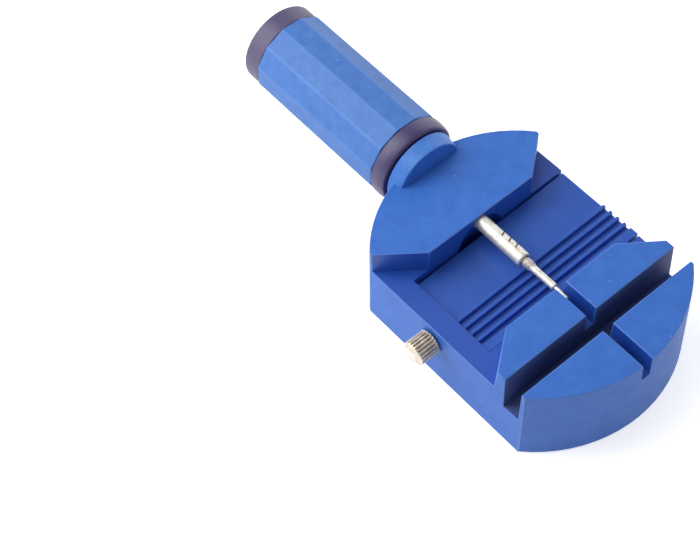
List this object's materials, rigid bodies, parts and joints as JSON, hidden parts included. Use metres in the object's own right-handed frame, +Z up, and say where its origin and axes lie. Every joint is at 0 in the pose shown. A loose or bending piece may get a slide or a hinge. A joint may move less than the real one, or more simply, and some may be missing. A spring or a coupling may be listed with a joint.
{
  "type": "watch link remover",
  "caption": "Bench tool for watch bands: a base with a ribbed lifting tray between head and jaw, and a screw handle that drives a thin ejector pin towards the slotted jaw.",
  "frame": {"origin": "centre of the base's flat underside, halfway along the base without its threaded neck", "axes": "+Z up, +Y along the spindle towards the handle, +X towards the open side of the tray; the height screw's knob is on -X"},
  "size_m": [0.045, 0.0969, 0.0243],
  "materials": {
    "blue_plastic": "satin moulded ABS",
    "tray_plastic": "satin moulded ABS, darker blue",
    "purple_plastic": "satin moulded plastic, dark purple",
    "nickel_steel": "nickel plate",
    "bright_steel": "bright turned steel",
    "brass": "plain"
  },
  "bodies": {
    "base": {"body": "blue_plastic"},
    "screw": {"height_screw": "nickel_steel", "screw_clip": "bright_steel"},
    "nut": {"tray_nut": "brass"},
    "tray": {"tray": "tray_plastic"},
    "pin": {"pin_holder": "bright_steel", "holder_clip": "bright_steel", "pin_tip": "bright_steel", "ejector_pin": "bright_steel"},
    "handle": {"grip": "blue_plastic", "front_ring": "purple_plastic", "end_cap": "purple_plastic"}
  },
  "joints": [
    {"name": "screw_turn", "type": "hinge", "parent": "base", "child": "screw", "pos_m": [-0.0224, 0.0026, 0.0096], "axis": [-1, 0, 0], "range_deg": [0, 4500]},
    {"name": "nut_travel", "type": "slide", "parent": "base", "child": "nut", "axis": [1, 0, 0], "range_m": [0, 0.00501]},
    {"name": "tray_lift", "type": "slide", "parent": "base", "child": "tray", "axis": [0.9578, 0, 0.2873], "range_m": [0, 0.00522]},
    {"name": "pin_feed", "type": "slide", "parent": "base", "child": "pin", "axis": [0, 1, 0], "range_m": [0, 0.01261]},
    {"name": "handle_turn", "type": "hinge", "parent": "pin", "child": "handle", "pos_m": [0, 0.048, 0.0159], "axis": [0, 1, 0], "range_deg": [0, 810]}
  ],
  "couplings": [
    {"joint": "nut_travel", "follows": "tray_lift", "ratio": 0.95783},
    {"joint": "screw_turn", "follows": "tray_lift", "rad_per_m": 15046},
    {"joint": "pin_feed", "follows": "handle_turn", "m_per_rad": 0.00089127}
  ]
}
